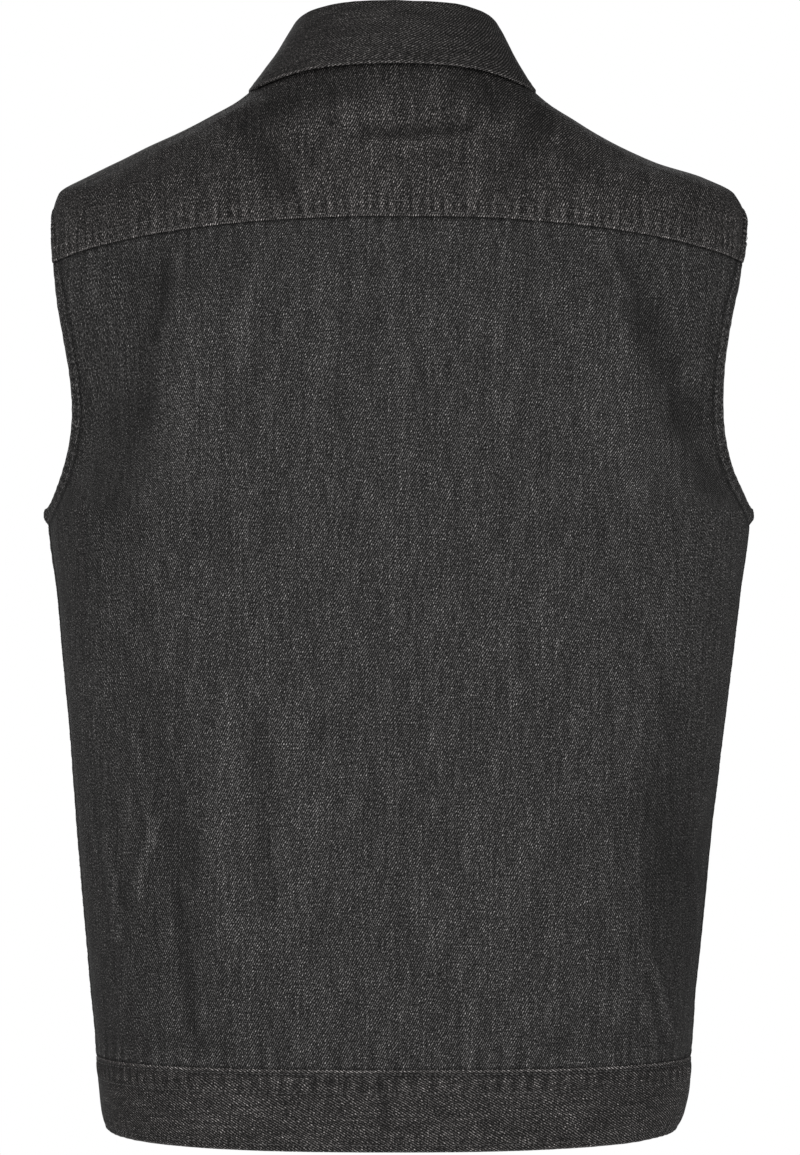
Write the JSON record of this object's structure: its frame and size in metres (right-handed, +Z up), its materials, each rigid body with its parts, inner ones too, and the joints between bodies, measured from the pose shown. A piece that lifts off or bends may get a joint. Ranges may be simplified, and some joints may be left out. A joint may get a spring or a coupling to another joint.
{
  "type": "denim vest",
  "caption": "Sleeveless denim vest in its worn shape, with a fold-down collar, back yoke, waistband and buttoned front, open at neck, armholes and hem.",
  "frame": {"origin": "midpoint between the shoulders, at the height where the collar meets the shoulder line, where the wearer holds the vest up", "axes": "+Z up, +Y out of the back, -Y out of the front, +X to the wearer's left"},
  "size_m": [0.4256, 0.2625, 0.6862],
  "materials": {
    "denim": "washed black twill, matte",
    "button_metal": "antique, satin"
  },
  "bodies": {
    "root": {"back_panel": "denim", "back_yoke": "denim", "front_left": "denim", "front_right": "denim", "collar": "denim", "placket_left": "denim", "placket_right": "denim", "waistband": "denim", "button_1": "button_metal", "button_2": "button_metal", "button_3": "button_metal", "button_4": "button_metal", "button_5": "button_metal", "button_6": "button_metal"}
  },
  "joints": []
}
